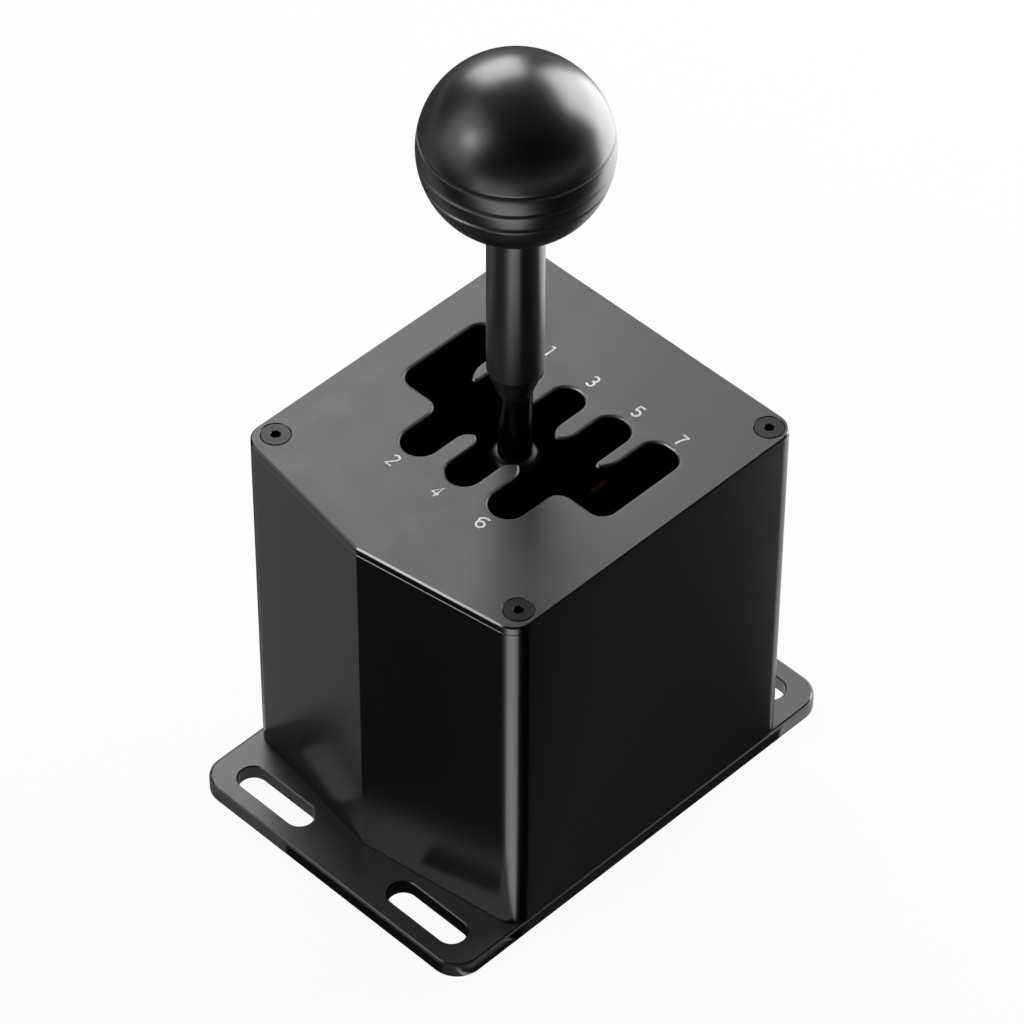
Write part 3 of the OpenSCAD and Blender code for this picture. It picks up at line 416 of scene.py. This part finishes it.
def break_rims(bm, z, up, sizes):
    """Rebuilds the flat face at that height, which faces up (1) or down (-1), with broken rims.

    The first of sizes, each from rim(), that a rim is long enough for is the one it gets.
    Returns the creases at the rims' corners."""
    layer, bright = (bm.faces.layers.float[name] for name in ("edge", "glint_metal"))
    flat = [f for f in bm.faces if abs(f.normal.z) > 0.999 and at_height(f, z)]
    bmesh.ops.delete(bm, geom=flat, context="FACES_KEEP_BOUNDARY")
    loops = boundary_loops(bm, z)
    plans = []
    for loop in loops:
        n = len(loop)
        points = [v.co.xy.copy() for v in loop]
        area = sum(points[i-1].cross(points[i]) for i in range(n))
        hole = sum(encloses(other, points[0]) for other in loops if other is not loop) % 2
        side = (1 if area > 0 else -1)*(-1 if hole else 1)
        normals = []
        for i in range(n):
            d = (points[(i + 1) % n] - points[i]).normalized()
            normals.append(Vector((-d.y, d.x))*side)
        shifts = [(normals[i-1] + normals[i])/max(0.3, 1 + normals[i-1].dot(normals[i])) for i in range(n)]
        length = max(max(q[i] for q in points)/MM - min(q[i] for q in points)/MM for i in (0, 1))
        # Bare metal goes on the stretches that face the front lamps, for a painted glint.
        edge_tone_and_glint = [max(0.0, normal.y)**6 for normal in normals]
        sharp = [i for i in range(n) if normals[i-1].angle(normals[i]) > math.radians(CREASE)]
        plans.append((loop, points, shifts, edge_tone_and_glint, sharp, next(size for size in sizes if length >= size[0])))
    last, creases = [], []
    for loop, points, shifts, edge_tone_and_glint, sharp, (_, width, segments, mark, glint_metal) in plans:
        n, w = len(loop), width*MM
        below = loop
        for v in loop:
            v.co.z -= up*w
        for k in range(1, segments + 1):
            turn = math.pi/2*k/segments
            height = z*MM - up*w*(1 - math.sin(turn))
            ring = [bm.verts.new((*(q + shift*w*(1 - math.cos(turn))), height))
                    for q, shift in zip(points, shifts)]
            for i in range(n):
                face = bm.faces.new((below[i-1], below[i], ring[i], ring[i-1]))
                middle = math.sin(math.pi*(k - 0.5)/segments)**4
                face[layer], face[bright] = mark, glint_metal*edge_tone_and_glint[i-1]*middle
            creases += [bm.edges.get((below[i], ring[i])) for i in sharp]
            below = ring
        last += [bm.edges.get((below[i-1], below[i])) for i in range(n)]
    bmesh.ops.triangle_fill(bm, use_beauty=True, use_dissolve=False, edges=last, normal=(0, 0, up))
    return creases


def finished(node, body, slot, rims):
    """The node's own shape with the rims of its flat faces broken, which replaces the node."""
    bm = bmesh.new()
    bm.from_mesh(nodes[node].data)
    bmesh.ops.remove_doubles(bm, verts=bm.verts, dist=0.000001)
    bm.faces.layers.float.new("edge")
    bm.faces.layers.float.new("glint_metal")
    creases = []
    for z, up, sizes in rims:
        creases += break_rims(bm, z, up, sizes)
    bmesh.ops.recalc_face_normals(bm, faces=bm.faces)
    layer = bm.faces.layers.float["edge"]
    shade(bm, CREASE, {f for f in bm.faces if f[layer] > 0})
    for crease in creases:
        crease.smooth = False
    mesh = bpy.data.meshes.new(node + "_finished")
    bm.to_mesh(mesh)
    bm.free()
    new_piece(node + "_finished", mesh, body, slot, (node,))


def centring_spring(node):
    """The spring stands on its seat in the case, as a copy of the node's shape. The yoke's arm flattens the
    real spring as the lever tilts, by what its far side comes down and a little more, because its end is
    in the arm's pocket; this copy keeps its shape."""
    mesh = nodes[node].data.copy()
    mesh.name = node + "_soft"
    piece = new_piece(node + "_soft", mesh, "case", "spring_steel", (node,))
    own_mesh(piece)


def lathe(name, profile, body, slot, replaced, segments=128, edges=(), angle=30.0):
    """Turns a profile of (radius, height) points in mm about Z, from below upwards. edges are the
    points, by number, that are marked for the material."""
    bm = bmesh.new()
    layer = bm.verts.layers.float.new("edge")
    rows = []
    turns = [2*math.pi*k/segments for k in range(segments)]
    for i, (r, z) in enumerate(profile):
        if r == 0:
            rows.append([bm.verts.new((0, 0, z*MM))])
        else:
            rows.append([bm.verts.new((r*MM*math.cos(a), r*MM*math.sin(a), z*MM)) for a in turns])
        for v in rows[-1]:
            v[layer] = 1.0 if i in edges else 0.0
    for a, b in zip(rows, rows[1:]):
        for k in range(segments):
            n = (k + 1) % segments
            if len(a) == 1 and len(b) > 1:
                bm.faces.new((a[0], b[n], b[k]))
            elif len(b) == 1 and len(a) > 1:
                bm.faces.new((a[k], a[n], b[0]))
            elif len(a) > 1:
                bm.faces.new((a[k], a[n], b[n], b[k]))
    bmesh.ops.recalc_face_normals(bm, faces=bm.faces)
    shade(bm, angle)
    mesh = bpy.data.meshes.new(name)
    bm.to_mesh(mesh)
    bm.free()
    new_piece(name, mesh, body, slot, replaced)


def knob_profile():
    """The ball from its flat to its top, with three V grooves whose edges are broken, and the
    numbers of the points that are marked."""
    flat = KNOB_Z - math.sqrt(KNOB_R**2 - KNOB_FLAT_R**2)
    points = [(KNOB_BORE_R, flat + KNOB_BORE_L), (KNOB_BORE_R, flat + 0.25), (8.3, flat),
              (KNOB_FLAT_R - 0.25, flat)]
    marks = [1, 2, 3]
    half, ease = GROOVE_HALF/KNOB_R, 0.14/KNOB_R
    step = math.radians(1.5)

    def at(a, r=KNOB_R):
        return r*math.cos(a), KNOB_Z + r*math.sin(a)

    def along(a, end, last):
        n = max(1, round((end - a)/step))
        return [at(a + (end - a)*i/n) for i in range(n + last)]

    a = math.asin((flat - KNOB_Z)/KNOB_R) + 0.2/KNOB_R
    for groove in GROOVES:
        c = math.asin(groove/KNOB_R)
        points += along(a, c - half - ease, 0)
        marks += [len(points) + 1, len(points) + 2]
        points += [at(c - half - ease), at(c - half - ease*0.3, KNOB_R - 0.03),
                   at(c - half + ease*0.5, KNOB_R - 0.15), at(c - half*0.12, KNOB_R - GROOVE_DEPTH*0.9),
                   at(c + half*0.12, KNOB_R - GROOVE_DEPTH*0.9), at(c + half - ease*0.5, KNOB_R - 0.15),
                   at(c + half + ease*0.3, KNOB_R - 0.03)]
        marks += [len(points) - 2, len(points) - 1]
        a = c + half + ease
    points += along(a, math.pi/2, 1)
    points[-1] = (0.0, KNOB_Z + KNOB_R)
    return points, marks


def arc(cx, cy, r, start, end, n=14):
    """Points on an arc, in mm and degrees."""
    return [(cx + r*math.cos(math.radians(start + (end - start)*i/n)),
             cy + r*math.sin(math.radians(start + (end - start)*i/n))) for i in range(n + 1)]


# Each mark's strokes, in mm from its middle, and then where each mark is on the deck
GLYPHS = {
    "1": [[(-0.80, 1.62), (0.12, 1.98), (0.12, -1.98)]],
    "2": [arc(0.0, 0.98, 1.0, 158, -25) + [(-1.02, -1.92), (1.08, -1.92)]],
    "3": [arc(-0.05, 1.02, 0.95, 148, -90) + arc(-0.05, -0.93, 1.02, 90, -148)],
    "4": [[(0.42, -1.98), (0.42, 1.92), (-1.15, -0.82), (1.15, -0.82)]],
    "5": [[(0.98, 1.92), (-0.78, 1.92), (-0.90, 0.20)] + arc(-0.02, -0.78, 1.16, 132, -140)],
    "6": [arc(0.45, -0.30, 2.20, 78, 168, 12)[:11] + arc(0.0, -0.82, 1.10, 170, 510, 26)],
    "7": [[(-1.05, 1.92), (1.10, 1.92), (0.55, 1.05), (0.14, 0.10), (-0.12, -0.95), (-0.24, -1.98)]],
    "R": [[(-0.92, -1.98), (-0.92, 1.92), (0.15, 1.92)] + arc(0.15, 0.95, 0.97, 90, -90) + [(-0.92, -0.02)],
          [(0.15, -0.02), (1.05, -1.98)]],
}
NUMBERS = (("1", -15.9, 29.1), ("2", -16.0, -28.5), ("3", 0.1, 28.9), ("4", 0.2, -28.4), ("5", 16.3, 29.1),
           ("6", 16.3, -28.2), ("7", 31.6, 29.3), ("R", -31.6, 29.2))


STROKE_R = 0.33
FLATTENED = 0.12


def gear_numbers():
    """Strokes of white paint that stand 0.04 mm proud of the deck."""
    curve = bpy.data.curves.new("gear_numbers", "CURVE")
    curve.dimensions = "3D"
    curve.bevel_depth = STROKE_R*MM
    curve.bevel_resolution = 2
    curve.use_fill_caps = True
    for glyph, x, y in NUMBERS:
        for line in GLYPHS[glyph]:
            spline = curve.splines.new("POLY")
            spline.points.add(len(line) - 1)
            for point, (u, v) in zip(spline.points, line):
                point.co = ((x + u)*MM, (y + v)*MM, 0, 1)
    source = bpy.data.objects.new("gear_numbers_source", curve)
    scene.collection.objects.link(source)
    bpy.context.view_layer.update()
    mesh = bpy.data.meshes.new_from_object(source.evaluated_get(bpy.context.evaluated_depsgraph_get()))
    bpy.data.objects.remove(source)
    for v in mesh.vertices:
        v.co.z = DECK*MM + v.co.z*FLATTENED
    mesh.materials.clear()
    mesh.materials.append(material("number_paint", (0.96, 0.96, 0.95), 0.4, vary=0.12, tone=900.0, grain=0.4))
    new_piece("gear_numbers", mesh, "case")


def build_pieces():
    # The gate's fillets carry the bare metal that glints where they face the front lamps, a painted glint.
    finished("top_plate", "case", "anodised_deck",
             ((DECK, 1, (rim(90, 0.45), rim(20, 0.85, mark=0.02, segments=7, glint_metal=1.0),
                         rim(0, 0.12, mark=0.3))),
              (RIM, -1, (rim(90, 0.12), rim(0, 0.10, mark=0.3)))))
    finished("housing_shell", "case", "anodised_case",
             ((RIM, 1, (rim(90, 0.12, mark=0.5), rim(0, 0.10, mark=0.3))),
              (PLATE_TOP, -1, (rim(90, 0.15), rim(0, 0.10, mark=0.3)))))
    finished("base_plate", "case", "anodised_plate",
             ((PLATE_TOP, 1, (rim(20, 0.30), rim(0, 0.10, mark=0.5))),
              (0.0, -1, (rim(20, 0.30), rim(0, 0.10, mark=0.5)))))
    finished("top_plate_screws", "case", "black_steel", ((DECK, 1, (rim(0, 0.12, mark=0.3),)),))
    centring_spring("left_centring_spring")
    centring_spring("right_centring_spring")
    points, marks = knob_profile()
    lathe("knob_turned", points, "lever", "knob_black", ("knob",), segments=144, edges=marks, angle=26.0)
    rod = [(0, 90.2), (4.3, 90.2), (ROD_R, 90.5)] + [(ROD_R, z) for z in (100, 110, 120, 130, 135.9)]
    taper = [(4.66, 136.1), (7.42, 144.3), (GRIP_R, 144.6)]
    grip = [(GRIP_R, z) for z in (155, 165, 175, 185, 195.3)]
    stud = [(7.2, 195.817), (5.0, 195.817), (5.0, 211.817), (0, 211.817)]
    # The whole rod is marked: a darker tone, painted shade, with its own smoother gloss.
    lathe("lever_shaft_turned", rod + taper + grip + stud, "lever", "lever_black", ("lever_shaft",),
          segments=96, edges=range(len(rod)), angle=8.0)
    collar = [(0, 49.2), (6.0, 49.2), (6.0, 60.0), (COLLAR_R, 60.0), (COLLAR_R, 109.6)]
    shoulder = [(7.1, 110.8), (6.8, 112.0), (6.35, 112.9), (5.8, 113.5), (5.2, 113.85), (4.9, 113.95),
                (4.64, 114.0)]
    bore = [(4.64, 90.0), (0, 90.0)]
    lathe("lever_collar_turned", collar + shoulder + bore, "lever", "black_steel", ("lever_collar",),
          segments=96, angle=12.0)
    gear_numbers()


# ---------------------------------------------------------------- stage

# The share of the floor's look that is plain white. The rest is paper that takes the shadow.
FLOOR_GLOW = 0.95
FLOOR_R = 6.0
FLOOR_DROP = 0.00005

# Where the case's gloss starts to show the floor, in mm: the places that the painted-reflection cards fan out
# from
PROW = (0, -58)
FRONT_LEFT = (-50, -49)
BACK_LEFT = (-44, 55)
BACK_RIGHT = (50, 54)
CORNER_FRONT = (46, -52)
CORNER_MIDDLE = (48, -50)
CORNER_SIDE = (49, -49)
FAR = 3000


def floor_material():
    """White to the camera and to gloss, with the object's shadow."""
    m = bpy.data.materials.new("floor")
    m.use_nodes = True
    t = Tree(m.node_tree)
    out = m.node_tree.nodes["Material Output"]
    paper = m.node_tree.nodes["Principled BSDF"]
    paper.inputs["Base Color"].default_value = (0.9, 0.9, 0.9, 1)
    paper.inputs["Roughness"].default_value = 0.9
    paper.inputs["Specular IOR Level"].default_value = 0.1
    glow = t.add("ShaderNodeEmission")
    glow.inputs["Strength"].default_value = 1.0
    path = t.add("ShaderNodeLightPath")
    seen = t.math("MAXIMUM", path.outputs["Is Camera Ray"],
                  t.math("MAXIMUM", path.outputs["Is Glossy Ray"], path.outputs["Is Transmission Ray"]))
    both = t.add("ShaderNodeMixShader")
    t.link(t.math("MULTIPLY", seen, FLOOR_GLOW), both.inputs["Fac"])
    t.link(paper.outputs[0], both.inputs[1])
    t.link(glow.outputs[0], both.inputs[2])
    t.link(both.outputs[0], out.inputs["Surface"])
    return m


def card(name, *corners, above=0.0):
    """A glowing card on the floor, or above it, out of the camera's sight, which lights nothing, casts no
    shadow and only the object's gloss shows: a painted reflection, light or dark.
    Each corner is (x, y, brightness), with x and y in mm. A later card lies on the earlier ones.
    A card above the floor shines upwards alone."""
    z = 0.2 + above + 0.02*sum(o.name.startswith("card") for o in scene.objects)
    mesh = bpy.data.meshes.new(name)
    mesh.from_pydata([Vector((x, y, z))*MM for x, y, k in corners], [], [tuple(range(len(corners)))])
    layer = mesh.attributes.new("brightness", "FLOAT", "POINT")
    for item, corner in zip(layer.data, corners):
        item.value = corner[2]
    thing = bpy.data.objects.new(name, mesh)
    scene.collection.objects.link(thing)
    thing.visible_camera = False
    thing.visible_diffuse = False
    thing.visible_shadow = False
    m = bpy.data.materials.new(name)
    m.use_nodes = True
    t = Tree(m.node_tree)
    glow = t.add("ShaderNodeEmission")
    t.link(t.add("ShaderNodeAttribute", attribute_name="brightness").outputs["Fac"], glow.inputs["Strength"])
    if above:
        both = t.add("ShaderNodeMixShader")
        t.link(t.add("ShaderNodeNewGeometry").outputs["Backfacing"], both.inputs["Fac"])
        t.link(glow.outputs[0], both.inputs[1])
        t.link(t.add("ShaderNodeBsdfTransparent").outputs[0], both.inputs[2])
        glow = both
    t.link(glow.outputs[0], m.node_tree.nodes["Material Output"].inputs["Surface"])
    mesh.materials.append(m)


def ray(start, azimuth, reach, k):
    """A card's corner of brightness k at that reach in mm from a point, at that azimuth from +Y
    towards +X."""
    a = math.radians(azimuth)
    return start[0] + reach*math.sin(a), start[1] + reach*math.cos(a), k


def softbox(name, azimuth, elevation, distance, width, height, radiance):
    """A rectangular lamp at that azimuth, from +Y towards +X, and elevation, facing the deck."""
    aim = Vector((0, 0, 0.12))
    a, e = math.radians(azimuth), math.radians(elevation)
    away = Vector((math.sin(a)*math.cos(e), math.cos(a)*math.cos(e), math.sin(e)))
    data = bpy.data.lights.new(name, "AREA")
    data.shape = "RECTANGLE"
    data.size, data.size_y = width, height
    data.energy = radiance*math.pi*width*height
    lamp = bpy.data.objects.new(name, data)
    scene.collection.objects.link(lamp)
    lamp.location = aim + away*distance
    lamp.rotation_mode = "QUATERNION"
    lamp.rotation_quaternion = away.to_track_quat("Z", "Y")
    lamp.visible_camera = False


def build_floor():
    bm = bmesh.new()
    bmesh.ops.create_circle(bm, cap_ends=True, segments=64, radius=FLOOR_R)
    mesh = bpy.data.meshes.new("floor")
    bm.to_mesh(mesh)
    bm.free()
    floor = bpy.data.objects.new("floor", mesh)
    floor.location.z = -FLOOR_DROP
    scene.collection.objects.link(floor)
    mesh.materials.append(floor_material())


def build_painted_reflections():
    """Painted reflections: glowing cards, light and dark, that set what the case's faces show in their gloss,
    from one face or corner to the next.
    """
    # Dark cards, painted shade: what the right side of the front-right corner and the front-right facet show
    # in their gloss.
    card("card_side", (49.4, -48.6, 0.001), ray(CORNER_SIDE, 134, FAR, 0.004), ray((50, -47), 49, FAR, 0.004),
         (50.2, -47, 0.001))
    card("card_front", (*PROW, 0.017), ray(PROW, 228, FAR, 0.04), ray(CORNER_FRONT, 184, FAR, 0.04),
         (*CORNER_FRONT, 0.02))
    # Grey cards, a painted reflection: what the front-left facet shows.
    card("card_grey", (-48, -50, 0.20), ray(FRONT_LEFT, 262, 360, 0.31), ray(PROW, 228, 420, 0.29),
         (*PROW, 0.21))
    card("card_grey_far", ray(FRONT_LEFT, 262, 360, 0.25), ray(FRONT_LEFT, 262, FAR, 0.05),
         ray(PROW, 228, FAR, 0.1), ray(PROW, 228, 420, 0.25))
    # A dark card, painted shade: what the left face shows.
    card("card_left", (-51, -47, 0.10), (*BACK_LEFT, 0.04), ray(BACK_LEFT, 340, FAR, 0.02),
         ray(FRONT_LEFT, 262, FAR, 0.05))
    # Bright cards, a painted highlight: the streak down the front-right corner, fading at its sides.
    card("card_corner", (46.0, -51.6, 1.25), ray(CORNER_FRONT, 168, 450, 1.5),
         ray(CORNER_MIDDLE, 134, 400, 1.5), (*CORNER_MIDDLE, 1.25))
    card("card_corner_left", (45.6, -51.8, 0.1), ray(CORNER_FRONT, 184, 500, 0.3),
         ray(CORNER_FRONT, 168, 450, 1.5), (46.0, -51.6, 1.25))
    card("card_corner_right", (*CORNER_MIDDLE, 1.25), ray(CORNER_MIDDLE, 134, 400, 1.5),
         ray(CORNER_SIDE, 114, 400, 0.01), (49.2, -48.8, 0.1))
    card("card_corner_far", ray(CORNER_FRONT, 168, 450, 0.9), ray(CORNER_FRONT, 168, FAR, 0.1),
         ray(CORNER_MIDDLE, 134, FAR, 0.05), ray(CORNER_MIDDLE, 134, 400, 0.8))
    # A dark card, painted shade: what the right face shows.
    card("card_right", (50.2, -47, 0.05), ray((50, -47), 49, FAR, 0.03), ray((50, 53), 31, FAR, 0.1),
         (50.2, 53, 0.035))
    # A dark strip and then a bright one, a painted shadow: the object's shadow on the floor beside the base
    # plate, as the foot of the front-right corner shows it.
    card("card_foot", (50.4, -76, 0.01), (50.4, -49, 0.01), (52, -51, 0.01), (52, -76, 0.01))
    card("card_foot_far", (52, -76, 0.01), (52, -51, 0.01), (56.5, -56, 1.1), (56.5, -76, 1.1))
    # Bright cards behind, a painted reflection: floor that grows brighter with distance, which the back
    # corners and the knob show.
    reaches = (("card_back", 0, 110, 0.68, 0.68), ("card_back_mid", 110, 240, 0.68, 2.4),
               ("card_back_far", 240, 500, 2.4, 3.8), ("card_back_wall", 500, 1500, 3.8, 4.4))
    for name, near_by, far_off, a, b in reaches:
        card(name, ray(BACK_RIGHT, 31, near_by, a), ray(BACK_RIGHT, 31, far_off, b),
             ray(BACK_LEFT, 340, far_off, b), ray(BACK_LEFT, 340, near_by, a))
    # Cards lying on the base plate and shining up, a painted reflection: the plate's top as the case's lower
    # faces show it, darker over the slot.
    card("card_plate", (-14, -57.6, 0.05), (-14, -70.5, 0.10), (10, -70.5, 0.17), (10, -57.4, 0.17),
         (0, -57.5, 0.15), above=PLATE_TOP)
    card("card_plate_right", (0, -57.4, 0.16), (10, -70.5, 0.17), (46, -70.5, 0.20), (49.6, -66, 0.20),
         (49.6, -50.0, 0.20), above=PLATE_TOP)
    card("card_plate_slot", (17, -65.8, 0.03), (41.5, -65.8, 0.03), (41.5, -58.2, 0.03), (17, -58.2, 0.03),
         above=PLATE_TOP)


def build_lamps():
    softbox("lamp_back", 3.5, 20, 1.2, 0.98, 1.12, 4.6)
    softbox("lamp_left", -60.5, 36.5, 1.2, 0.70, 0.76, 4.5)
    softbox("lamp_front", -149, 31, 1.2, 1.06, 1.10, 0.68)
    softbox("lamp_front_core", -158, 34, 1.15, 0.26, 0.22, 5.0)


def build_world():
    """A dark studio, a little lighter up and to the left."""
    world = bpy.data.worlds.new("world")
    scene.world = world
    world.use_nodes = True
    t = Tree(world.node_tree)
    facing = t.add("ShaderNodeVectorMath", operation="DOT_PRODUCT")
    t.link(t.add("ShaderNodeTexCoord").outputs["Generated"], facing.inputs[0])
    facing.inputs[1].default_value = (-0.61, -0.22, 0.76)
    t.link(t.span(facing.outputs["Value"], 0.005, 0.08, 0.3, 1.0),
           world.node_tree.nodes["Background"].inputs["Strength"])
    world.node_tree.nodes["Background"].inputs["Color"].default_value = (1, 1, 1, 1)


scene.view_settings.view_transform = "Standard"
place_camera()
MATERIALS = make_materials()
for row in frame["record"]["subparts"]:
    mesh = nodes[row["node"]].data
    mesh.materials.clear()
    mesh.materials.append(MATERIALS[row["material_slot"]])
build_pieces()
build_floor()
build_painted_reflections()
build_lamps()
build_world()

bpy.context.view_layer.update()
